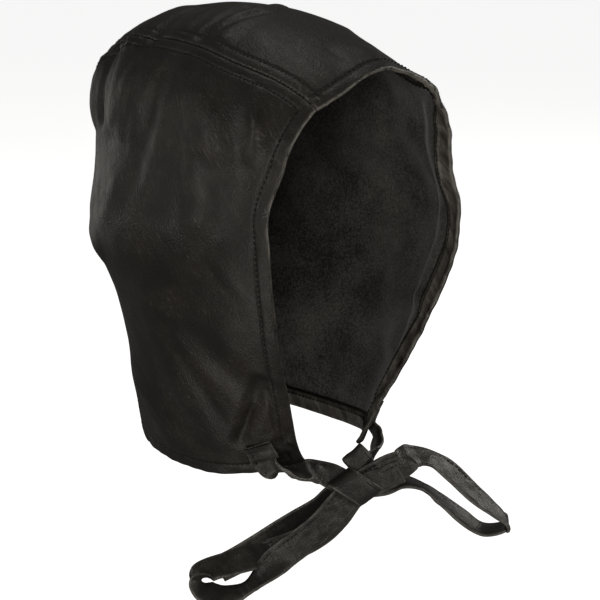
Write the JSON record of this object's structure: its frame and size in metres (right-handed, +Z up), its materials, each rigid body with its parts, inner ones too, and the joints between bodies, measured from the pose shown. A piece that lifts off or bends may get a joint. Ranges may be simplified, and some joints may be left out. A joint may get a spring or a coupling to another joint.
{
  "type": "leather coif",
  "caption": "Close leather hood, open at the face and neck, made of side panels and a crown strip, with leather ties in a bow under the chin.",
  "frame": {"origin": "inside face of the crown at its highest point, where the top of the wearer's head carries the coif", "axes": "+Z up, -Y is the way the wearer looks, -X is the wearer's right"},
  "size_m": [0.1882, 0.2288, 0.314],
  "materials": {
    "black_leather": "soft satin garment leather, matt flesh side inside",
    "tie_leather": "worn satin leather strap, folded double and stitched"
  },
  "bodies": {
    "root": {"right_side_panel": "black_leather", "left_side_panel": "black_leather", "crown_strip": "black_leather", "right_tie": "tie_leather", "left_tie": "tie_leather"}
  },
  "joints": []
}
